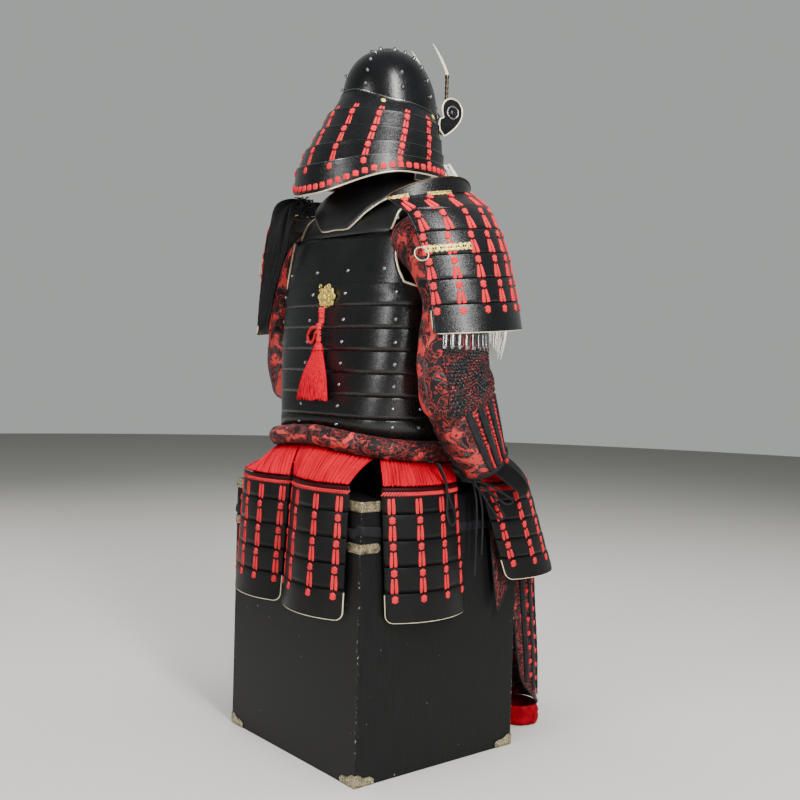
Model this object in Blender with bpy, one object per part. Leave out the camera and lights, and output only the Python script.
"""Samurai armour displayed on its storage chest: a full lamed suit on a plain inner stand.

Metres, +Z up. The origin is the middle of the chest's underside. The armour faces -Y, and its right
hand is at -X. Every lamed or cloth piece is a thin wall lofted through sections worked out below.
"""

import math

import bmesh
import bpy
from mathutils import Vector

GAP = 0.0004
WALL = 0.002
CLOTH = 0.0015
PADDED = 0.003
LAME_STEP = 0.0014

# Storage chest
CHEST_WIDTH = 0.440
CHEST_DEPTH = 0.405
CHEST_HEIGHT = 0.530
LID_HEIGHT = 0.078
BOARD = 0.012
STRAP_WIDTH = 0.018
STRAP_HEIGHT = 0.467

# Cuirass: superellipse sections, one row for each height
#   height, half width, half depth
CUIRASS_SECTIONS = (
    (0.600, 0.183, 0.160),
    (0.660, 0.188, 0.1555),
    (0.730, 0.199, 0.150),
    (0.800, 0.207, 0.1448),
    (0.914, 0.211, 0.1355),
    (0.966, 0.210, 0.1270),
    (1.037, 0.207, 0.1155),
)
CUIRASS_SQUARENESS = 4.0
CUIRASS_TURN = 2.0
CUIRASS_TOP_SEAM = 0.936
CUIRASS_LAME_PITCH = 0.0437
CUIRASS_LAMES = 7
CUIRASS_COLUMNS = 14
CUIRASS_SIDE_COLUMNS = 3
CUIRASS_EVEN_TO = 52.0
#   height, end angle from the middle of the back or front: the armhole's edge
ARMHOLE = ((0.915, 89.5), (0.925, 76.0), (0.939, 61.6), (0.962, 59.0), (0.985, 57.6), (1.0355, 57.6))
FRONT_TOP = 1.012

# Padded roll round the waist
ROLL_RADIUS = 0.0205
ROLL_OUT = 0.006
ROLL_BACK_HEIGHT = 0.638
ROLL_DROP = 0.024

# Helmet
HELMET_CENTRE_Y = -0.011
BOWL_WIDTH = 0.0945
BOWL_DEPTH = 0.1030
BOWL_BASE = 1.300
BOWL_TOP = 1.4325
BOWL_FULLNESS = 2.3
#   half width, half depth, centre along, height behind, at the side and at the front end, end angle
NECK_GUARD_SEAMS = (
    (0.0985, 0.1065, -0.0110, 1.3300, 1.3060, 1.2910, 119.0),
    (0.1122, 0.1192, 0.0010, 1.2906, 1.2817, 1.2723, 121.0),
    (0.1249, 0.1307, 0.0115, 1.2513, 1.2482, 1.2412, 123.0),
    (0.1378, 0.1420, 0.0236, 1.2121, 1.2166, 1.2096, 127.0),
    (0.1474, 0.1496, 0.0337, 1.1708, 1.1882, 1.1860, 130.0),
    (0.1546, 0.1546, 0.0375, 1.1119, 1.1562, 1.1599, 130.0),
)
NECK_GUARD_COLUMNS = 20
NECK_GUARD_OVERLAP = 0.004
NECK_GUARD_SHINGLE = 0.0031

# Shoulder guards: a curved plate of constant width, one row for each seam
#   height at the back edge, chord's middle across and along, extra height at the front edge, half angle
SHOULDER_GUARD_ROWS = (
    (1.088, 0.196, 0.040, 0.036, 48.0),
    (1.062, 0.238, 0.030, 0.030, 48.0),
    (1.022, 0.264, 0.024, 0.026, 48.5),
    (0.978, 0.279, 0.018, 0.024, 49.5),
    (0.934, 0.289, 0.013, 0.022, 50.0),
    (0.889, 0.296, 0.007, 0.020, 51.0),
    (0.840, 0.302, 0.002, 0.018, 52.0),
)
SHOULDER_GUARD_RADIUS = 0.140
LEFT_GUARD_IN = 0.013
SHOULDER_GUARD_COLUMNS = 8
CROWN_HEIGHT = 0.032

# Sleeves: centres of the rings from shoulder to wrist, right arm; the left arm mirrors them
#   across, along, height, half width across, half depth along
SLEEVE_RINGS = (
    (0.176, 0.034, 1.052, 0.042, 0.058),
    (0.212, 0.036, 1.040, 0.045, 0.056),
    (0.239, 0.036, 0.985, 0.049, 0.061),
    (0.271, 0.038, 0.905, 0.049, 0.066),
    (0.274, 0.040, 0.822, 0.054, 0.071),
    (0.274, 0.037, 0.762, 0.056, 0.074),
    (0.273, 0.012, 0.708, 0.056, 0.072),
    (0.269, -0.022, 0.650, 0.052, 0.060),
    (0.265, -0.045, 0.618, 0.047, 0.052),
    (0.262, -0.064, 0.594, 0.043, 0.046),
)
SLEEVE_SIDES = 14
LEFT_ARM_FORWARD = 0.020
LEFT_ARM_LENGTH = 0.94
HAND_WAY = (0.17, -0.81, -0.56)
HAND_LENGTH = 0.104
#   share of the hand guard's length, half depth
HAND_ROWS = ((0.0, 0.038), (0.3, 0.040), (0.65, 0.037), (0.9, 0.026), (1.0, 0.014))

# Skirt: seven panels, each hanging from a pleated section
PANEL_RADIUS = 0.170
PANEL_LAMES = 5
PANEL_COLUMNS = 5
PANEL_CORNER = 0.014
LAP_BEND = 0.016
PLEAT_DEPTH = 0.0026
PLEATS = 9
#   name, facing degrees from the back, top middle x, y, z, bottom middle x, y, z,
#   top half chord, bottom half chord, first and last waist angle of the pleats
SKIRT = (
    ("back_left", 0, 0.0915, 0.2085, 0.553, 0.118, 0.2095, 0.302, 0.0880, 0.0860, -76, -15),
    ("back_right", 0, -0.0980, 0.2085, 0.555, -0.081, 0.2105, 0.306, 0.0930, 0.1000, -14, 48.5),
    ("side_right", 90, -0.2255, 0.070, 0.553, -0.2275, 0.047, 0.302, 0.0930, 0.0990, 52, 98),
    ("side_left", -90, 0.2255, 0.070, 0.553, 0.2275, 0.060, 0.302, 0.0900, 0.0950, -104, -78),
    ("front_right", 100, -0.2335, -0.1450, 0.553, -0.2400, -0.2230, 0.358, 0.0830, 0.0830, 100, 140),
    ("front_left", -100, 0.2335, -0.1450, 0.553, 0.2400, -0.2230, 0.358, 0.0830, 0.0830, -140, -106),
    ("front_middle", 180, 0.0, -0.2060, 0.578, 0.0, -0.3720, 0.440, 0.0800, 0.0920, 142, 218),
)

TAU = 2.0 * math.pi


def clear_scene():
    for thing in list(bpy.data.objects):
        bpy.data.objects.remove(thing, do_unlink=True)


def finish(name, colour, roughness, metallic=0.0):
    """A Principled finish."""
    material = bpy.data.materials.new(name)
    material.use_nodes = True
    shader = material.node_tree.nodes["Principled BSDF"]
    shader.inputs["Base Color"].default_value = (*colour, 1.0)
    shader.inputs["Roughness"].default_value = roughness
    shader.inputs["Metallic"].default_value = metallic
    return material


def add_object(name, mesh_data, material, smooth=True, solid=True):
    """Turns a bmesh into a named object that hangs from the suit's empty."""
    if solid and mesh_data.calc_volume(signed=True) < 0.0:
        bmesh.ops.reverse_faces(mesh_data, faces=mesh_data.faces)
    mesh = bpy.data.meshes.new(name)
    mesh_data.to_mesh(mesh)
    mesh_data.free()
    if smooth:
        mesh.shade_smooth()
        mesh.set_sharp_from_angle(angle=math.radians(35.0))
    thing = bpy.data.objects.new(name, mesh)
    bpy.context.scene.collection.objects.link(thing)
    mesh.materials.append(material)
    thing.parent = SUIT
    return thing


def lofted_sheet(rows, closed=False):
    """An open sheet: the first row is a line of edges, and each next row is extruded from it."""
    sheet = bmesh.new()
    line = [sheet.verts.new(point) for point in rows[0]]
    order = list(zip(range(len(line)), range(1, len(line)))) + ([(len(line) - 1, 0)] if closed else [])
    for first, second in order:
        sheet.edges.new((line[first], line[second]))
    for row in rows[1:]:
        edges = [sheet.edges.get((line[first], line[second])) for first, second in order]
        made = bmesh.ops.extrude_edge_only(sheet, edges=edges)["geom"]
        fresh = {item for item in made if isinstance(item, bmesh.types.BMVert)}
        line = [next(edge.other_vert(old) for edge in old.link_edges if edge.other_vert(old) in fresh)
                for old in line]
        for vertex, point in zip(line, row):
            vertex.co = point
    bmesh.ops.recalc_face_normals(sheet, faces=sheet.faces)
    return sheet, line


def face_away_from(sheet, centre, level):
    """Turns the sheet so that it faces away from the centre, or from a level axis through it."""
    total = 0.0
    for face in sheet.faces:
        away = face.calc_center_median() - Vector(centre)
        if level:
            away.z = 0.0
        total += face.normal.dot(away.normalized()) * face.calc_area()
    if total < 0.0:
        bmesh.ops.reverse_faces(sheet, faces=sheet.faces)


def wall(name, rows, material, thickness=WALL, closed=False, centre=(0.0, 0.0, 0.8), level=True):
    """A thin wall whose outer face is the sheet through the rows."""
    sheet, _ = lofted_sheet(rows, closed)
    face_away_from(sheet, centre, level)
    thing = add_object(name, sheet, material, solid=False)
    shell = thing.modifiers.new("Wall", "SOLIDIFY")
    shell.thickness = thickness
    shell.offset = -1.0
    shell.use_even_offset = True
    return thing


def block(name, size, middle, material, bevel=0.0):
    """A solid box with softened edges."""
    mesh = bmesh.new()
    bmesh.ops.create_cube(mesh, size=1.0)
    bmesh.ops.scale(mesh, vec=size, verts=mesh.verts)
    bmesh.ops.translate(mesh, vec=middle, verts=mesh.verts)
    if bevel:
        bmesh.ops.bevel(mesh, geom=mesh.edges, offset=bevel, segments=1, affect="EDGES", profile=0.5)
    return add_object(name, mesh, material)


def mix(first, second, share):
    return first + (second - first) * share


def smooth_step(value):
    value = min(max(value, 0.0), 1.0)
    return 0.5 - 0.5 * math.cos(math.pi * value)


def from_table(table, height):
    """The other columns of a table at a height between its rows, on straight lines."""
    rows = sorted(table)
    for below, above in zip(rows, rows[1:]):
        if height <= above[0]:
            share = max(0.0, (height - below[0]) / (above[0] - below[0]))
            return [mix(low, high, share) for low, high in zip(below[1:], above[1:])]
    return list(rows[-1][1:])


def superellipse(half_width, half_depth, squareness, degrees):
    """A point of the section, in a direction measured from the middle of the back to the right (-X)."""
    across, along = math.sin(math.radians(degrees)), math.cos(math.radians(degrees))
    total = abs(across / half_width) ** squareness + abs(along / half_depth) ** squareness
    reach = total ** (-1.0 / squareness)
    return -reach * across, reach * along


def spread(first, last, count):
    """Evenly spaced values from first to last."""
    return [mix(first, last, index / count) for index in range(count + 1)]


# --- chest and inner stand ---------------------------------------------------------------------


def open_box(name, height, base, opens_up, material):
    """A box of thin boards, open above or below."""
    mesh = bmesh.new()
    bmesh.ops.create_cube(mesh, size=1.0)
    bmesh.ops.scale(mesh, vec=(CHEST_WIDTH, CHEST_DEPTH, height), verts=mesh.verts)
    bmesh.ops.translate(mesh, vec=(0.0, 0.0, base + height / 2.0), verts=mesh.verts)
    mesh.normal_update()
    toward = 1.0 if opens_up else -1.0
    mouth = [face for face in mesh.faces if face.normal.z * toward > 0.9]
    bmesh.ops.inset_region(mesh, faces=mouth, thickness=BOARD)
    bmesh.ops.translate(mesh, vec=(0.0, 0.0, -toward * (height - BOARD)), verts=mouth[0].verts)
    return add_object(name, mesh, material, smooth=False)


def make_chest(lacquer, webbing):
    body_height = CHEST_HEIGHT - LID_HEIGHT
    open_box("chest_body", body_height - GAP, 0.0, True, lacquer)
    open_box("chest_lid", LID_HEIGHT, body_height, False, lacquer)
    out = GAP + CLOTH + 0.0004
    corner = 0.001
    half_width, half_depth = CHEST_WIDTH / 2.0 + out, CHEST_DEPTH / 2.0 + out
    outline = []
    for sign_x, sign_y, order in ((1, 1, 1), (-1, 1, -1), (-1, -1, 1), (1, -1, -1)):
        pair = [(sign_x * half_width, sign_y * (half_depth - corner)),
                (sign_x * (half_width - corner), sign_y * half_depth)]
        outline += pair[::order]
    rows = [[Vector((x, y, STRAP_HEIGHT + side * STRAP_WIDTH / 2.0)) for x, y in outline] for side in (-1, 1)]
    wall("chest_strap", rows, webbing, CLOTH, closed=True)


def make_stand(wood):
    """A foot board on the lid, a post, and a crossbar under the shoulders; joined into one solid."""
    foot_top = CHEST_HEIGHT + GAP + 0.016
    parts = (
        ((0.24, 0.18, 0.016), (0.0, 0.0, CHEST_HEIGHT + GAP + 0.008)),
        ((0.036, 0.036, 1.185 - foot_top + 0.004), (0.0, 0.0, (1.185 + foot_top - 0.004) / 2.0)),
        ((0.250, 0.030, 0.034), (0.0, 0.005, 1.060)),
    )
    pieces = [block(f"stand_part_{index}", size, middle, wood) for index, (size, middle) in enumerate(parts)]
    frame = pieces[0]
    frame.name = "stand_frame"
    for piece in pieces[1:]:
        joint = frame.modifiers.new(piece.name, "BOOLEAN")
        joint.operation = "UNION"
        joint.object = piece
        piece.hide_render = True
        piece.display_type = "WIRE"
    mesh = bmesh.new()
    bmesh.ops.create_uvsphere(mesh, u_segments=12, v_segments=8, radius=1.0)
    bmesh.ops.scale(mesh, vec=(0.068, 0.080, 0.105), verts=mesh.verts)
    bmesh.ops.translate(mesh, vec=(0.0, HELMET_CENTRE_Y, 1.292), verts=mesh.verts)
    bmesh.ops.bisect_plane(mesh, geom=mesh.verts[:] + mesh.edges[:] + mesh.faces[:], dist=1e-5,
                           plane_co=(0.0, 0.0, 1.185 + GAP), plane_no=(0.0, 0.0, -1.0), clear_outer=True)
    bmesh.ops.holes_fill(mesh, edges=[edge for edge in mesh.edges if edge.is_boundary])
    add_object("stand_head", mesh, wood)


# --- cuirass, yoke and collar ----------------------------------------------------------------------


def cuirass_point(height, degrees, out=0.0):
    half_width, half_depth = from_table(CUIRASS_SECTIONS, height)
    x, y = superellipse(half_width + out, half_depth + out, CUIRASS_SQUARENESS, degrees)
    turn = math.radians(CUIRASS_TURN)
    return Vector((x * math.cos(turn) - y * math.sin(turn), x * math.sin(turn) + y * math.cos(turn), height))


def waist_height(degrees):
    """The height of the waist roll's middle: it falls from the back to the sides and front."""
    return ROLL_BACK_HEIGHT - ROLL_DROP * smooth_step(abs(degrees) / 90.0)


def cuirass_columns(end):
    """Directions of the columns: even across the middle, and squeezed only beside an armhole."""
    middle = spread(-CUIRASS_EVEN_TO, CUIRASS_EVEN_TO, CUIRASS_COLUMNS - 2 * CUIRASS_SIDE_COLUMNS)
    side = spread(CUIRASS_EVEN_TO, end, CUIRASS_SIDE_COLUMNS)[1:]
    return [-degrees for degrees in reversed(side)] + middle + side


def cuirass_half(name, turn, top, material):
    """Riveted lames from the waist to the chest, each lower lame outside the one above."""
    seams = [CUIRASS_TOP_SEAM - CUIRASS_LAME_PITCH * lame for lame in range(CUIRASS_LAMES)]
    levels = [(seam, out) for seam in seams for out in (0.0, LAME_STEP)][::-1]
    levels += [(row[0], 0.0) for row in ARMHOLE if row[0] > CUIRASS_TOP_SEAM + 0.002 and row[0] < top]
    levels += [(top, 0.0)]
    rows = [[cuirass_point(waist_height(degrees) + ROLL_RADIUS + 0.001, degrees + turn, LAME_STEP)
             for degrees in cuirass_columns(89.5)]]
    for height, out in levels:
        end = from_table(ARMHOLE, height)[0] if height > ARMHOLE[0][0] else ARMHOLE[0][1]
        rows.append([cuirass_point(height, degrees + turn, out)
                     for degrees in cuirass_columns(end)])
    return wall(name, rows, material)


# Right half of the shoulder yoke, from the middle of the back over the shoulder to the front
#   neck edge across, along, height; outer edge across, along, height
YOKE_ROWS = (
    (0.000, 0.080, 1.104, 0.000, 0.1180, 1.0373),
    (0.030, 0.078, 1.106, 0.062, 0.1165, 1.0373),
    (0.054, 0.067, 1.111, 0.112, 0.1105, 1.0373),
    (0.067, 0.052, 1.116, 0.150, 0.0985, 1.0373),
    (0.074, 0.032, 1.121, 0.152, 0.0780, 1.0780),
    (0.076, 0.005, 1.124, 0.152, 0.0400, 1.1040),
    (0.076, -0.030, 1.121, 0.149, -0.0150, 1.1070),
    (0.076, -0.064, 1.107, 0.144, -0.0640, 1.0870),
    (0.078, -0.094, 1.080, 0.138, -0.0990, 1.0560),
    (0.080, -0.117, 1.038, 0.130, -0.1220, 1.0200),
)
# The same for the collar plate that lies on the yoke
COLLAR_ROWS = (
    (0.000, 0.072, 1.150, 0.000, 0.1215, 1.0500),
    (0.030, 0.070, 1.151, 0.045, 0.1210, 1.0500),
    (0.052, 0.060, 1.153, 0.083, 0.1090, 1.0790),
    (0.066, 0.042, 1.155, 0.112, 0.0920, 1.1000),
    (0.073, 0.018, 1.156, 0.126, 0.0600, 1.1160),
    (0.075, -0.012, 1.156, 0.130, 0.0150, 1.1240),
)
YOKE_BULGE = 0.009


def horseshoe(name, table, material, bulge=YOKE_BULGE):
    """A plate that runs round the back of the neck, worked out on the right and mirrored."""
    right = [(Vector((-row[0], row[1], row[2])), Vector((-row[3], row[4], row[5]))) for row in table]
    left = [(Vector((-inner.x, inner.y, inner.z)), Vector((-outer.x, outer.y, outer.z)))
            for inner, outer in right[:0:-1]]
    rows = []
    for inner, outer in left + right:
        out = (inner + outer) / 2.0 - Vector((0.0, 0.0, 1.0))
        middle = (inner + outer) / 2.0 + out.normalized() * bulge
        rows.append([inner, middle, outer])
    return wall(name, rows, material, centre=(0.0, 0.0, 1.0), level=False)


# --- helmet ------------------------------------------------------------------------------------


def make_bowl(material):
    rows = []
    rings = (0.0, 0.2, 0.4, 0.58, 0.74, 0.87, 0.96, 0.995)
    for share in rings:
        radius = (1.0 - share ** BOWL_FULLNESS) ** (1.0 / BOWL_FULLNESS)
        ring = []
        for degrees in spread(0.0, 360.0, 20)[:-1]:
            x, y = superellipse(BOWL_WIDTH * radius, BOWL_DEPTH * radius, 2.0, degrees)
            tilt = 0.012 * (1.0 - share) * math.cos(math.radians(degrees))
            ring.append(Vector((x, y + HELMET_CENTRE_Y + 0.005 * share,
                                mix(BOWL_BASE, BOWL_TOP, share) + tilt)))
        rows.append(ring)
    sheet, crown = lofted_sheet(rows, closed=True)
    sheet.faces.new(crown)
    bmesh.ops.recalc_face_normals(sheet, faces=sheet.faces)
    face_away_from(sheet, (0.0, HELMET_CENTRE_Y, BOWL_BASE), False)
    thing = add_object("helmet_bowl", sheet, material, solid=False)
    shell = thing.modifiers.new("Wall", "SOLIDIFY")
    shell.thickness = WALL
    shell.offset = -1.0
    shell.use_even_offset = True
    return thing


def neck_guard_point(seam, degrees, out, drop=0.0):
    half_width, half_depth, centre, behind, side, front, end = seam
    x, y = superellipse(half_width + out, half_depth + out, 2.0, degrees)
    turn = abs(degrees)
    share = seam_share(seam)
    height = mix(behind, side, smooth_step((turn - 3.0 - 2.0 * share) / (60.0 + 15.0 * share)))
    height += (front - side) * max(0.0, turn - 68.0) / (end - 68.0)
    return Vector((x, y + centre, height - drop))


def seam_share(seam):
    """0 at the bowl, 1 at the lowest seam."""
    first, last = NECK_GUARD_SEAMS[0][0], NECK_GUARD_SEAMS[-1][0]
    return (seam[0] - first) / (last - first)


def make_neck_guard(material):
    for number, (upper, lower) in enumerate(zip(NECK_GUARD_SEAMS, NECK_GUARD_SEAMS[1:]), start=1):
        top_out = NECK_GUARD_SHINGLE if number > 1 else 0.0
        drop = NECK_GUARD_OVERLAP if number < len(NECK_GUARD_SEAMS) - 1 else 0.0
        rows = []
        for seam, out, fall in ((upper, top_out, 0.0), (lower, 0.0, drop)):
            end = seam[6]
            rows.append([neck_guard_point(seam, degrees, out, fall)
                         for degrees in spread(-end, end, NECK_GUARD_COLUMNS)])
        if number == 1:
            rows.insert(0, [point + Vector((0.0, 0.0, 0.004)) for point in rows[0]])
        wall(f"neck_guard_lame_{number}", rows, material)


def make_brim(material):
    rows = []
    for share in (0.0, 0.5, 1.0):
        row = []
        for degrees in spread(128.0, 232.0, 10):
            x, y = superellipse(BOWL_WIDTH + 0.0028, BOWL_DEPTH + 0.0028, 2.0, degrees)
            reach = 0.044 * share * math.cos(math.radians((degrees - 180.0) * 90.0 / 54.0)) ** 0.6
            row.append(Vector((x * (1.0 + reach), y + HELMET_CENTRE_Y - reach,
                               BOWL_BASE + 0.004 - 0.016 * share)))
        rows.append(row)
    wall("helmet_brim", rows, material, centre=(0.0, HELMET_CENTRE_Y, 1.0), level=False)


# The helmet's wing: a drop-shaped plate, its outline along the plate and up
#   forward along the plate, height above the drop's middle
WING_OUTLINE = (
    (-0.0215, -0.012), (-0.0250, 0.006), (-0.0200, 0.020), (-0.0090, 0.0275), (0.0040, 0.0275),
    (0.0150, 0.0205), (0.0215, 0.008), (0.0205, -0.008), (0.0120, -0.024), (-0.0040, -0.040),
    (-0.0190, -0.0500), (-0.0215, -0.047),
    (-0.0300, -0.036), (-0.0300, -0.018),
)
WING_MIDDLE = (0.0985, -0.0985, 1.306)
WING_TURN = 13.0


def plate_from_outline(name, outline, place, material, thickness=WALL):
    """A flat plate: an outline filled, thickened, and moved by a function into its place."""
    mesh = bmesh.new()
    face = mesh.faces.new([mesh.verts.new((0.0, along, up)) for along, up in outline])
    made = bmesh.ops.extrude_face_region(mesh, geom=[face])["geom"]
    fresh = [item for item in made if isinstance(item, bmesh.types.BMVert)]
    bmesh.ops.translate(mesh, vec=(thickness, 0.0, 0.0), verts=fresh)
    for vertex in mesh.verts:
        vertex.co = place(vertex.co.copy())
    bmesh.ops.recalc_face_normals(mesh, faces=mesh.faces)
    return add_object(name, mesh, material)


def make_wings(material):
    for side, sign in (("right", -1.0), ("left", 1.0)):
        turn = math.radians(WING_TURN)

        def place(point, sign=sign, turn=turn):
            forward, outward, up = point.y, point.x, point.z
            across = WING_MIDDLE[0] + forward * math.sin(turn) + outward * math.cos(turn)
            along = WING_MIDDLE[1] - forward * math.cos(turn) + outward * math.sin(turn)
            return Vector((sign * across, along, WING_MIDDLE[2] + up))

        plate_from_outline(f"helmet_wing_{side}", WING_OUTLINE, place, material)


# --- crest ---------------------------------------------------------------------------------------

CREST_ACROSS = 0.035
#   along, height, radius: an ivory horn from its ferrule to its tip
HORN_RINGS = (
    (-0.1360, 1.4030, 0.0038), (-0.1300, 1.4150, 0.0036), (-0.1180, 1.4330, 0.0030),
    (-0.1050, 1.4490, 0.0020), (-0.0945, 1.4600, 0.0008),
)


def tube(name, centres, radii, material, sides=10):
    """A round bar through centres with a radius at each."""
    centres = [Vector(centre) for centre in centres]
    rows = []
    side_way = None
    for index, centre in enumerate(centres):
        before, after = centres[max(index - 1, 0)], centres[min(index + 1, len(centres) - 1)]
        way = (after - before).normalized()
        if side_way is None:
            side_way = way.orthogonal()
        side_way = (side_way - way * side_way.dot(way)).normalized()
        other = way.cross(side_way)
        rows.append([centre + radii[index] * (math.cos(TAU * step / sides) * side_way
                                              + math.sin(TAU * step / sides) * other)
                     for step in range(sides)])
    sheet, last = lofted_sheet(rows, closed=True)
    sheet.verts.ensure_lookup_table()
    sheet.faces.new(last)
    sheet.faces.new(sheet.verts[:sides])
    bmesh.ops.recalc_face_normals(sheet, faces=sheet.faces)
    return add_object(name, sheet, material)


def make_crest(bronze, ivory):
    for side, sign in (("right", -1.0), ("left", 1.0)):
        centres = [(sign * CREST_ACROSS, along, height) for along, height, _ in HORN_RINGS]
        tube(f"crest_horn_{side}", centres, [ring[2] for ring in HORN_RINGS], ivory, sides=8)
    half = CREST_ACROSS + 0.0045
    mesh = bmesh.new()
    outline = ((-half, 1.3020), (half, 1.3020), (half, 1.3990), (half - 0.009, 1.3990),
               (half - 0.009, 1.3200), (0.009 - half, 1.3200), (0.009 - half, 1.3990), (-half, 1.3990))
    face = mesh.faces.new([mesh.verts.new((x, -0.1405, z)) for x, z in outline])
    made = bmesh.ops.extrude_face_region(mesh, geom=[face])["geom"]
    fresh = [item for item in made if isinstance(item, bmesh.types.BMVert)]
    bmesh.ops.translate(mesh, vec=(0.0, 0.009, 0.0), verts=fresh)
    bmesh.ops.recalc_face_normals(mesh, faces=mesh.faces)
    add_object("crest_socket", mesh, bronze, smooth=False)


# --- mask, throat guard and beard ----------------------------------------------------------------

#   height, half angle, cheek radius across, radius forward, nose or chin relief
MASK_ROWS = (
    (1.272, 74.0, 0.066, 0.080, 0.004),
    (1.252, 80.0, 0.068, 0.084, 0.016),
    (1.233, 84.0, 0.068, 0.084, 0.024),
    (1.224, 86.0, 0.067, 0.084, 0.006),
    (1.206, 88.0, 0.064, 0.083, 0.002),
    (1.186, 88.0, 0.058, 0.082, 0.006),
    (1.168, 84.0, 0.050, 0.074, 0.004),
)
FACE_AXIS_Y = -0.034
#   height, half width, half depth of the throat guard's seams
THROAT_ROWS = ((1.160, 0.066, 0.080), (1.132, 0.072, 0.088), (1.104, 0.078, 0.096), (1.076, 0.084, 0.104))
#   height, half width, middle along, half thickness of the beard's mass
BEARD_ROWS = (
    (1.212, 0.058, -0.1330, 0.006),
    (1.160, 0.084, -0.1500, 0.018),
    (1.060, 0.118, -0.1800, 0.030),
    (0.950, 0.150, -0.1920, 0.034),
    (0.860, 0.174, -0.2010, 0.034),
    (0.800, 0.170, -0.2050, 0.028),
    (0.776, 0.130, -0.2050, 0.014),
)


def make_face(lacquer, hair):
    rows = []
    for height, half_angle, across, forward, relief in MASK_ROWS:
        row = []
        for degrees in spread(-half_angle, half_angle, 10):
            angle = math.radians(degrees)
            nose = relief * math.exp(-((degrees / 13.0) ** 2))
            row.append(Vector((-across * math.sin(angle),
                               FACE_AXIS_Y - (forward + nose) * math.cos(angle), height)))
        rows.append(row)
    wall("face_mask", rows, lacquer, centre=(0.0, FACE_AXIS_Y, 1.22))
    rows = []
    for index, (height, half_width, half_depth) in enumerate(THROAT_ROWS):
        outs = (0.0,) if index in (0, len(THROAT_ROWS) - 1) else (0.0, LAME_STEP)
        for out in outs:
            rows.append([Vector((-(half_width + out) * math.sin(math.radians(degrees)),
                                 -0.030 - (half_depth + out) * math.cos(math.radians(degrees)), height))
                         for degrees in spread(-50.0, 50.0, 8)])
    wall("throat_guard", rows, lacquer, centre=(0.0, -0.03, 1.1))
    rows = [[Vector((half_width * math.cos(TAU * step / 14), middle + half * math.sin(TAU * step / 14), height))
             for step in range(14)] for height, half_width, middle, half in BEARD_ROWS]
    sheet, last = lofted_sheet(rows, closed=True)
    sheet.verts.ensure_lookup_table()
    sheet.faces.new(last)
    sheet.faces.new(sheet.verts[:14])
    bmesh.ops.recalc_face_normals(sheet, faces=sheet.faces)
    add_object("beard", sheet, hair)


# --- shoulder guards and sleeves -------------------------------------------------------------------


def shoulder_guard_point(row, way, sign, out=0.0):
    """A point of the curved plate: way runs from its back edge (+1) to its front edge (-1)."""
    height, across, along, rise, half_degrees = row
    if sign > 0:
        across -= LEFT_GUARD_IN * math.sin(math.pi * (SHOULDER_GUARD_ROWS[0][0] - height) / 0.248)
    half_angle = math.radians(half_degrees)
    inner = SHOULDER_GUARD_RADIUS * math.cos(half_angle)
    angle = half_angle * way
    x = across - inner + (SHOULDER_GUARD_RADIUS + out) * math.cos(angle)
    y = along + (SHOULDER_GUARD_RADIUS + out) * math.sin(angle)
    share = 0.5 - 0.5 * math.sin(angle) / math.sin(half_angle)
    return Vector((sign * x, y, height + rise * share))


def make_shoulder_guard(side, sign, lacquer):
    ways = spread(1.0, -1.0, SHOULDER_GUARD_COLUMNS)
    rows = []
    for index, row in enumerate(SHOULDER_GUARD_ROWS):
        outs = (0.0,) if index in (0, len(SHOULDER_GUARD_ROWS) - 1) else (0.0, LAME_STEP)
        for out in outs:
            rows.append([shoulder_guard_point(row, way, sign, out) for way in ways])
    centre = (sign * 0.18, 0.02, 0.95)
    wall(f"shoulder_guard_{side}", rows, lacquer, centre=centre, level=False)
    first = SHOULDER_GUARD_ROWS[0]
    rows = []
    for share in (0.0, 0.5, 1.0):
        row = []
        for way in ways:
            base = shoulder_guard_point(first, way, sign, 0.0)
            arch = math.cos(math.pi * way / 2.0)
            rise = CROWN_HEIGHT * share * (0.18 + 0.82 * max(arch, 0.0) ** 0.7)
            row.append(base + Vector((0.0, 0.0, rise + 0.0007)))
        rows.append(row)
    wall(f"shoulder_crown_{side}", rows, lacquer, centre=centre)


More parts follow.
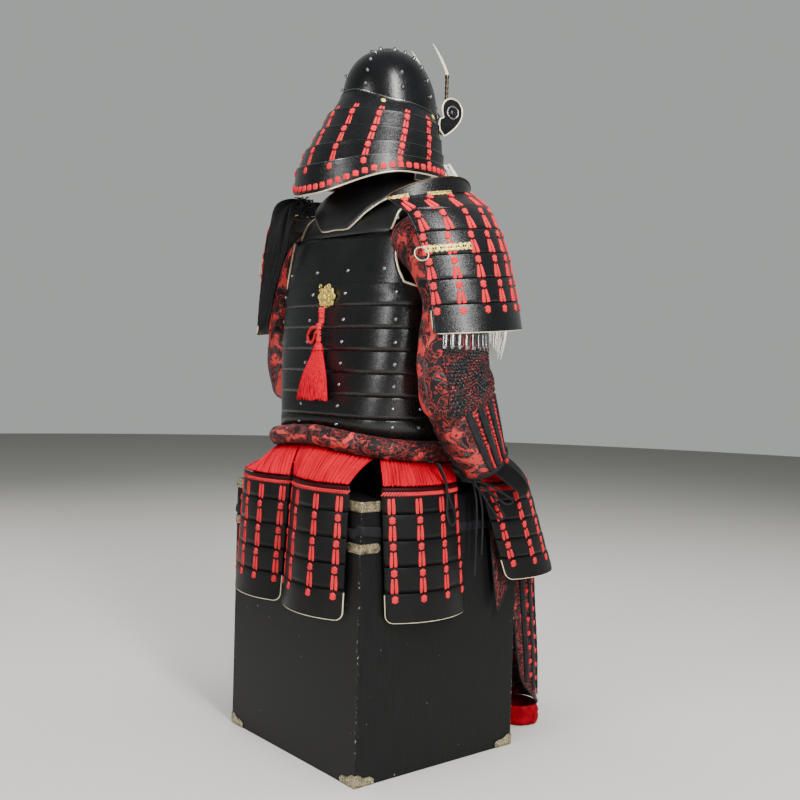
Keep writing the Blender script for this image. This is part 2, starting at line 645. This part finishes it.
def make_sleeve(side, sign, brocade, lacquer):
    """A padded tube through level-sided rings, open at the armhole and the wrist, and its hand guard."""
    forward, length = (LEFT_ARM_FORWARD, LEFT_ARM_LENGTH) if sign > 0 else (0.0, 1.0)
    top = SLEEVE_RINGS[0][2]
    centres = [Vector((sign * across, along - forward, top - (top - height) * length))
               for across, along, height, _, _ in SLEEVE_RINGS]
    rows = []
    for index, (centre, ring) in enumerate(zip(centres, SLEEVE_RINGS)):
        before, after = centres[max(index - 1, 0)], centres[min(index + 1, len(centres) - 1)]
        way = (after - before).normalized()
        outward = Vector((sign, 0.0, 0.0))
        outward = (outward - way * outward.dot(way)).normalized()
        back = way.cross(outward)
        rows.append([centre + outward * (ring[3] * math.cos(TAU * step / SLEEVE_SIDES))
                     + back * (ring[4] * math.sin(TAU * step / SLEEVE_SIDES))
                     for step in range(SLEEVE_SIDES)])
    sheet, _ = lofted_sheet(rows, closed=True)
    middle = centres[4]
    near = [face for face in sheet.faces if abs(face.calc_center_median().z - middle.z) < 0.06]
    if sum(face.normal.dot(face.calc_center_median() - middle) for face in near) < 0.0:
        bmesh.ops.reverse_faces(sheet, faces=sheet.faces)
    thing = add_object(f"sleeve_{side}", sheet, brocade, solid=False)
    shell = thing.modifiers.new("Wall", "SOLIDIFY")
    shell.thickness = PADDED
    shell.offset = -1.0
    shell.use_even_offset = True
    wrist = centres[-1]
    way = Vector((sign * HAND_WAY[0], HAND_WAY[1], HAND_WAY[2])).normalized()
    outward = Vector((sign, 0.0, 0.0))
    outward = (outward - way * outward.dot(way)).normalized()
    up = way.cross(outward) * sign
    rows = []
    for share, radius in HAND_ROWS:
        centre = wrist + way * (0.016 + HAND_LENGTH * share) + outward * 0.004
        rows.append([centre + outward * (0.62 * radius * math.cos(math.radians(degrees)))
                     + up * (radius * math.sin(math.radians(degrees)))
                     for degrees in spread(-20.0, 130.0, 7)])
    wall(f"hand_guard_{side}", rows, lacquer, centre=wrist + way * 0.05 - outward * 0.02, level=False)


# --- skirt -----------------------------------------------------------------------------------------


def facing(degrees):
    """The level direction that a panel faces, in degrees from the back towards the right."""
    angle = math.radians(degrees)
    return Vector((-math.sin(angle), math.cos(angle), 0.0))


def panel_top_point(panel, share, out=0.0, below=0.0):
    """A point on a panel's curved top edge, share 0 to 1 from its left end seen from outside."""
    _, turn, x, y, z, bottom_x, bottom_y, bottom_z, half, bottom_half = panel[:10]
    drop = below / (z - bottom_z)
    middle = Vector((x, y, z)).lerp(Vector((bottom_x, bottom_y, bottom_z)), drop)
    chord = mix(half, bottom_half, drop)
    limit = math.asin(chord / PANEL_RADIUS)
    angle = mix(-limit, limit, share)
    along = facing(turn + 90.0)
    bulge = PANEL_RADIUS * (math.cos(angle) - math.cos(limit)) + out
    return middle + along * (PANEL_RADIUS * math.sin(angle)) + facing(turn) * bulge


def panel_profile(panel):
    """Distances below the top at which lames begin and end, with the outward step of each."""
    height = panel[4] - panel[7]
    bottom_plate = 0.053 * height / 0.250
    band = (height - bottom_plate) / (PANEL_LAMES - 1)
    levels = [(0.0, 0.0)]
    for seam in range(1, PANEL_LAMES):
        levels += [(band * seam, 0.0), (band * seam, LAME_STEP)]
    return levels + [(height - PANEL_CORNER, LAME_STEP), (height, LAME_STEP)]


def lap_bend(panel, point, below):
    """The middle front panel lies on the lap and bends down over the knees."""
    if panel[0] != "front_middle":
        return point
    return point + Vector((0.0, 0.0, LAP_BEND * math.sin(math.pi * min(below / (panel[4] - panel[7]), 1.0))))


def make_panel(panel, lacquer):
    levels = panel_profile(panel)
    last = levels[-1][0]
    rows = []
    for below, out in levels:
        narrow = PANEL_CORNER / (panel[8] * 2.0) if below == last else 0.0
        shares = spread(narrow, 1.0 - narrow, PANEL_COLUMNS)
        rows.append([lap_bend(panel, panel_top_point(panel, share, out, below), below) for share in shares])
    turn = facing(panel[1])
    centre = Vector(panel[2:5]) - turn * 0.3
    wall(f"skirt_panel_{panel[0]}", rows, lacquer, WALL, centre=centre, level=panel[0] != "front_middle")


def make_pleats(panel, cloth):
    """A pleated section: its folds run from under the waist roll to the panel's top edge."""
    first, last = panel[10], panel[11]
    columns = PLEATS * 2
    rows = []
    for share in (0.0, 0.45, 1.0):
        row = []
        for column in range(columns + 1):
            along = column / columns
            degrees = mix(first, last, along)
            waist = waist_height(degrees if abs(degrees) <= 180 else 360 - degrees)
            top = cuirass_point(waist - ROLL_RADIUS - 0.0018, degrees, ROLL_OUT)
            bottom = panel_top_point(panel, mix(0.012, 0.988, along), 0.0, 0.0) + Vector((0.0, 0.0, 0.0045))
            away = Vector((top.x, top.y, 0.0)).normalized()
            across_sheet = away * (top.z - bottom.z) + Vector((0.0, 0.0, (bottom - top).dot(away)))
            fold = PLEAT_DEPTH * (1.0 if column % 2 else -1.0) * (0.45 + 0.55 * share)
            sag = 0.004 * math.sin(math.pi * share)
            row.append(top.lerp(bottom, share) + across_sheet.normalized() * (fold + sag))
        rows.append(row)
    wall(f"skirt_pleats_{panel[0]}", rows, cloth, 0.001)


def make_waist_roll(brocade):
    count = 28
    sheet_rows = []
    for index in range(count):
        degrees = 360.0 * index / count
        turn = degrees if degrees <= 180.0 else 360.0 - degrees
        height = waist_height(turn)
        centre = cuirass_point(height, degrees, ROLL_OUT)
        away = Vector((centre.x, centre.y * 1.35, 0.0)).normalized()
        sheet_rows.append([centre + ROLL_RADIUS * (math.cos(TAU * step / 8) * away
                                                   + math.sin(TAU * step / 8) * Vector((0.0, 0.0, 1.0)))
                           for step in range(8)])
    sheet_rows.append(sheet_rows[0])
    sheet, _ = lofted_sheet(sheet_rows, closed=True)
    bmesh.ops.remove_doubles(sheet, verts=sheet.verts, dist=1e-6)
    bmesh.ops.recalc_face_normals(sheet, faces=sheet.faces)
    add_object("waist_roll", sheet, brocade)


# --- thigh and shin guards ---------------------------------------------------------------------------

# Thigh guard: each column of points runs from the waist, past the lid's edge, to the hem
#   waist x, y, z; edge x, y, z; knee x, y, z; hem x, y, z
THIGH_COLUMNS = (
    (0.016, -0.163, 0.566, 0.017, -0.212, 0.556, 0.020, -0.262, 0.528, 0.026, -0.292, 0.392),
    (0.060, -0.165, 0.566, 0.063, -0.214, 0.556, 0.070, -0.274, 0.530, 0.078, -0.306, 0.390),
    (0.105, -0.160, 0.564, 0.115, -0.214, 0.556, 0.130, -0.274, 0.528, 0.138, -0.304, 0.388),
    (0.140, -0.148, 0.562, 0.164, -0.208, 0.554, 0.176, -0.246, 0.522, 0.186, -0.274, 0.380),
    (0.168, -0.128, 0.562, 0.2175, -0.199, 0.556, 0.2255, -0.2180, 0.518, 0.2290, -0.232, 0.385),
    (0.186, -0.105, 0.560, 0.226, -0.150, 0.550, 0.2325, -0.160, 0.514, 0.2360, -0.172, 0.350),
    (0.200, -0.080, 0.558, 0.228, -0.096, 0.546, 0.2325, -0.104, 0.510, 0.2360, -0.136, 0.286),
)

#   height, middle along, radius, half angle from the front, across
SHIN_ROWS = (
    (0.362, -0.270, 0.065, 118.0),
    (0.300, -0.276, 0.064, 120.0),
    (0.230, -0.288, 0.061, 120.0),
    (0.150, -0.301, 0.058, 118.0),
    (0.095, -0.311, 0.053, 108.0),
    (0.044, -0.324, 0.047, 62.0),
)
SHIN_ACROSS = 0.116


def make_thigh_guard(side, sign, brocade):
    """A brocade sheet that lies over the chest's front corner and hangs beside it."""
    rows = []
    for stop, start in enumerate((0, 3, 6, 9)):
        row = [Vector((sign * column[start], column[start + 1], column[start + 2])) for column in THIGH_COLUMNS]
        if stop:
            rows.append([before.lerp(after, 0.5) for before, after in zip(rows[-1], row)])
        rows.append(row)
    wall(f"thigh_guard_{side}", rows, brocade, CLOTH + 0.0005, centre=(sign * 0.12, -0.15, 0.38), level=False)


def make_shin_guard(side, sign, brocade, red_cloth):
    rows = []
    for height, along, radius, half_angle in SHIN_ROWS:
        rows.append([Vector((sign * SHIN_ACROSS + radius * math.sin(math.radians(degrees)),
                             along - radius * math.cos(math.radians(degrees)), height))
                     for degrees in spread(-half_angle, half_angle, 12)])
    wall(f"shin_guard_{side}", rows, brocade, PADDED, centre=(sign * SHIN_ACROSS, -0.285, 0.2))
    rows = []
    for height, radius, along in ((0.0, 0.047, -0.326), (0.022, 0.050, -0.325), (0.043, 0.046, -0.323)):
        rows.append([Vector((sign * SHIN_ACROSS + radius * math.sin(TAU * step / 14),
                             along - 0.92 * radius * math.cos(TAU * step / 14), height))
                     for step in range(14)])
    wall(f"ankle_cloth_{side}", rows, red_cloth, CLOTH, closed=True,
         centre=(sign * SHIN_ACROSS, -0.329, 0.03))


# --- tassel, ties and ribbon ---------------------------------------------------------------------------

TASSEL_X = -0.006
TASSEL_Y = 0.1590
TASSEL_TOP = 0.823
TASSEL_BOTTOM = 0.708
CORD_RADIUS = 0.002
TIE_RADIUS = 0.0022
#   x, y, z of the points that the twisted cord passes through, from the boss to the tassel's head
TASSEL_CORD_ROUTE = (
    (0.0000, 0.1490, 0.8930), (0.0000, 0.1500, 0.8780), (-0.0010, 0.1515, 0.8640), (0.0040, 0.1530, 0.8540),
    (0.0180, 0.1530, 0.8530), (0.0360, 0.1515, 0.8510), (0.0500, 0.1500, 0.8380), (0.0470, 0.1500, 0.8250),
    (0.0330, 0.1520, 0.8220), (0.0190, 0.1560, 0.8300), (0.0090, 0.1595, 0.8420), (0.0010, 0.1600, 0.8400),
    (0.0000, 0.1585, 0.8250),
)
#   x, y, z of the black loop that hangs from the waist over the right side panel
TIE_LOOP_ROUTE = (
    (-0.2425, 0.0441, 0.5978), (-0.2475, 0.0392, 0.5848), (-0.2535, 0.0337, 0.5699), (-0.2575, 0.0303, 0.5530),
    (-0.2605, 0.0302, 0.5286), (-0.2615, 0.0305, 0.5021), (-0.2615, 0.0248, 0.4865), (-0.2615, 0.0155, 0.4791),
    (-0.2615, 0.0081, 0.4872), (-0.2615, 0.0114, 0.5046), (-0.2605, 0.0216, 0.5243), (-0.2635, 0.0328, 0.5443),
    (-0.2600, 0.0356, 0.5668), (-0.2540, 0.0399, 0.5854), (-0.2480, 0.0439, 0.5974),
)
#   x, y, z of the tie below the cuff: a tail, the two loops of its bow, and the other tail
TIE_BOW_ROUTE = (
    (-0.2590, -0.0482, 0.3757), (-0.2590, -0.0493, 0.4259), (-0.2590, -0.0496, 0.4748), (-0.2590, -0.0484, 0.5140),
    (-0.2590, -0.0430, 0.5416), (-0.2620, -0.0341, 0.5599), (-0.2670, -0.0343, 0.5672), (-0.2700, -0.0505, 0.5580),
    (-0.2720, -0.0738, 0.5355), (-0.2730, -0.0958, 0.5088), (-0.2740, -0.1110, 0.4882), (-0.2740, -0.0959, 0.4863),
    (-0.2730, -0.0740, 0.5082), (-0.2710, -0.0532, 0.5346), (-0.2720, -0.0328, 0.5542), (-0.2765, -0.0255, 0.5637),
    (-0.2790, -0.0418, 0.5603), (-0.2800, -0.0736, 0.5482), (-0.2800, -0.1071, 0.5326), (-0.2800, -0.1272, 0.5196),
    (-0.2790, -0.1118, 0.5135), (-0.2780, -0.0818, 0.5289), (-0.2770, -0.0550, 0.5459), (-0.2740, -0.0403, 0.5512),
    (-0.2650, -0.0510, 0.5341), (-0.2610, -0.0613, 0.5076), (-0.2605, -0.0645, 0.4641), (-0.2605, -0.0636, 0.4150),
)


def smooth_route(points, spacing):
    """Evenly spaced points of a smooth curve (Catmull-Rom) through the route."""
    points = [Vector(point) for point in points]
    ends = [points[0] * 2.0 - points[1]] + points + [points[-1] * 2.0 - points[-2]]
    fine = []
    for index in range(1, len(ends) - 2):
        before, start, stop, after = ends[index - 1:index + 3]
        for step in range(16):
            share = step / 16
            fine.append(0.5 * (2.0 * start + (stop - before) * share
                               + (2.0 * before - 5.0 * start + 4.0 * stop - after) * share ** 2
                               + (3.0 * start - before - 3.0 * stop + after) * share ** 3))
    fine.append(points[-1])
    lengths = [0.0]
    for before, after in zip(fine, fine[1:]):
        lengths.append(lengths[-1] + (after - before).length)
    count = max(2, round(lengths[-1] / spacing))
    even, place = [], 0
    for step in range(count + 1):
        target = lengths[-1] * step / count
        while place < len(lengths) - 2 and lengths[place + 1] < target:
            place += 1
        share = (target - lengths[place]) / (lengths[place + 1] - lengths[place])
        even.append(fine[place].lerp(fine[place + 1], min(share, 1.0)))
    return even


def cord(name, route, radius, material):
    """A round cord along a smooth route, with a point every two and a half diameters."""
    curve = bpy.data.curves.new(name, "CURVE")
    curve.dimensions = "3D"
    curve.bevel_depth = radius
    curve.bevel_resolution = 2
    curve.use_fill_caps = True
    points = smooth_route(route, 5.0 * radius)
    line = curve.splines.new("POLY")
    line.points.add(len(points) - 1)
    for point, place in zip(line.points, points):
        point.co = (*place, 1.0)
    thing = bpy.data.objects.new(name, curve)
    bpy.context.scene.collection.objects.link(thing)
    curve.materials.append(material)
    thing.parent = SUIT
    return thing


def make_tassel(gilt, coral):
    mesh = bmesh.new()
    outline = [(0.0215 * math.cos(TAU * step / 16) * (1.0 + 0.06 * math.cos(TAU * step / 2)),
                0.0215 * math.sin(TAU * step / 16)) for step in range(16)]
    face = mesh.faces.new([mesh.verts.new((TASSEL_X + x, 0.1467, 0.914 + z)) for x, z in outline])
    made = bmesh.ops.extrude_face_region(mesh, geom=[face])["geom"]
    fresh = [item for item in made if isinstance(item, bmesh.types.BMVert)]
    bmesh.ops.translate(mesh, vec=(0.0, -0.0075, 0.0), verts=fresh)
    bmesh.ops.recalc_face_normals(mesh, faces=mesh.faces)
    add_object("tassel_boss", mesh, gilt)
    rows = []
    for share, across, thick, lean in ((0.0, 0.006, 0.006, 0.0), (0.08, 0.014, 0.0095, 0.001),
                                       (0.25, 0.025, 0.0135, 0.005), (0.6, 0.037, 0.0185, 0.013),
                                       (1.0, 0.045, 0.0205, 0.018)):
        height = mix(TASSEL_TOP, TASSEL_BOTTOM, share)
        rows.append([Vector((TASSEL_X + across * math.cos(TAU * step / 12) - lean * 0.4,
                             TASSEL_Y + lean + thick * math.sin(TAU * step / 12), height))
                     for step in range(12)])
    sheet, last = lofted_sheet(rows, closed=True)
    sheet.verts.ensure_lookup_table()
    sheet.faces.new(last)
    sheet.faces.new(sheet.verts[:12])
    bmesh.ops.recalc_face_normals(sheet, faces=sheet.faces)
    add_object("tassel", sheet, coral)
    route = [(TASSEL_X + x, y, z) for x, y, z in TASSEL_CORD_ROUTE]
    cord("tassel_cord", route, CORD_RADIUS, coral)


#   x, y, z of the ribbon's middle, then half width, from the collar over the left guard and down
RIBBON_ROWS = (
    (0.1290, 0.1080, 1.1220, 0.010), (0.1380, 0.1240, 1.1230, 0.014), (0.1470, 0.1420, 1.1080, 0.022),
    (0.1540, 0.1500, 1.0680, 0.029), (0.1690, 0.1500, 1.0190, 0.030), (0.1930, 0.1470, 0.9730, 0.026),
    (0.2160, 0.1420, 0.9320, 0.022), (0.2330, 0.1380, 0.8930, 0.020), (0.2500, 0.1340, 0.8590, 0.016),
)


def make_ribbon(black_cloth):
    rows = []
    for index, (x, y, z, half) in enumerate(RIBBON_ROWS):
        fold = 0.006 if index % 2 else -0.004
        across = Vector((0.62, 0.55, 0.20)) if index < 3 else Vector((0.70, 0.25, 0.0))
        across = across.normalized() * half
        out = Vector((-0.25, 0.95, 0.15)).normalized() * fold
        middle = Vector((x, y, z))
        rows.append([middle - across, middle - across * 0.4 + out, middle + across * 0.35 - out * 0.4,
                     middle + across])
    wall("shoulder_ribbon_left", rows, black_cloth, CLOTH, centre=(0.0, 0.0, 0.9))


clear_scene()
SUIT = bpy.data.objects.new("suit", None)
bpy.context.scene.collection.objects.link(SUIT)

BLACK_LACQUER = finish("black lacquer", (0.012, 0.012, 0.013), 0.32)
CHEST_LACQUER = finish("chest lacquer", (0.014, 0.013, 0.013), 0.45)
BROCADE = finish("black and coral brocade", (0.16, 0.03, 0.03), 0.75)
RED_CLOTH = finish("coral red cloth", (0.78, 0.035, 0.045), 0.70)
BLACK_CLOTH = finish("black cloth", (0.015, 0.016, 0.018), 0.85)
GILT = finish("gilt metal", (0.80, 0.58, 0.22), 0.30, 1.0)
BRONZE = finish("dark bronze", (0.16, 0.12, 0.08), 0.45, 0.8)
IVORY = finish("ivory horn", (0.85, 0.78, 0.62), 0.35)
HAIR = finish("white hair", (0.86, 0.85, 0.80), 0.60)
WOOD = finish("stand wood", (0.22, 0.13, 0.07), 0.60)

make_chest(CHEST_LACQUER, BLACK_CLOTH)
make_stand(WOOD)
cuirass_half("cuirass_back", 0.0, 1.0355, BLACK_LACQUER)
cuirass_half("cuirass_front", 180.0, FRONT_TOP, BLACK_LACQUER)
horseshoe("shoulder_yoke", YOKE_ROWS, BLACK_LACQUER)
horseshoe("collar_plate", COLLAR_ROWS, BLACK_LACQUER)
make_waist_roll(BROCADE)
for skirt_panel in SKIRT:
    make_panel(skirt_panel, BLACK_LACQUER)
    make_pleats(skirt_panel, RED_CLOTH)
make_bowl(BLACK_LACQUER)
make_brim(BLACK_LACQUER)
make_neck_guard(BLACK_LACQUER)
make_wings(BLACK_LACQUER)
make_crest(BRONZE, IVORY)
make_face(BLACK_LACQUER, HAIR)
for name, way in (("right", -1.0), ("left", 1.0)):
    make_shoulder_guard(name, way, BLACK_LACQUER)
    make_sleeve(name, way, BROCADE, BLACK_LACQUER)
    make_thigh_guard(name, way, BROCADE)
    make_shin_guard(name, way, BROCADE, RED_CLOTH)
make_tassel(GILT, RED_CLOTH)
make_ribbon(BLACK_CLOTH)
cord("waist_tie_loop", TIE_LOOP_ROUTE, TIE_RADIUS, BLACK_CLOTH)
cord("waist_tie_bow", TIE_BOW_ROUTE, TIE_RADIUS, BLACK_CLOTH)
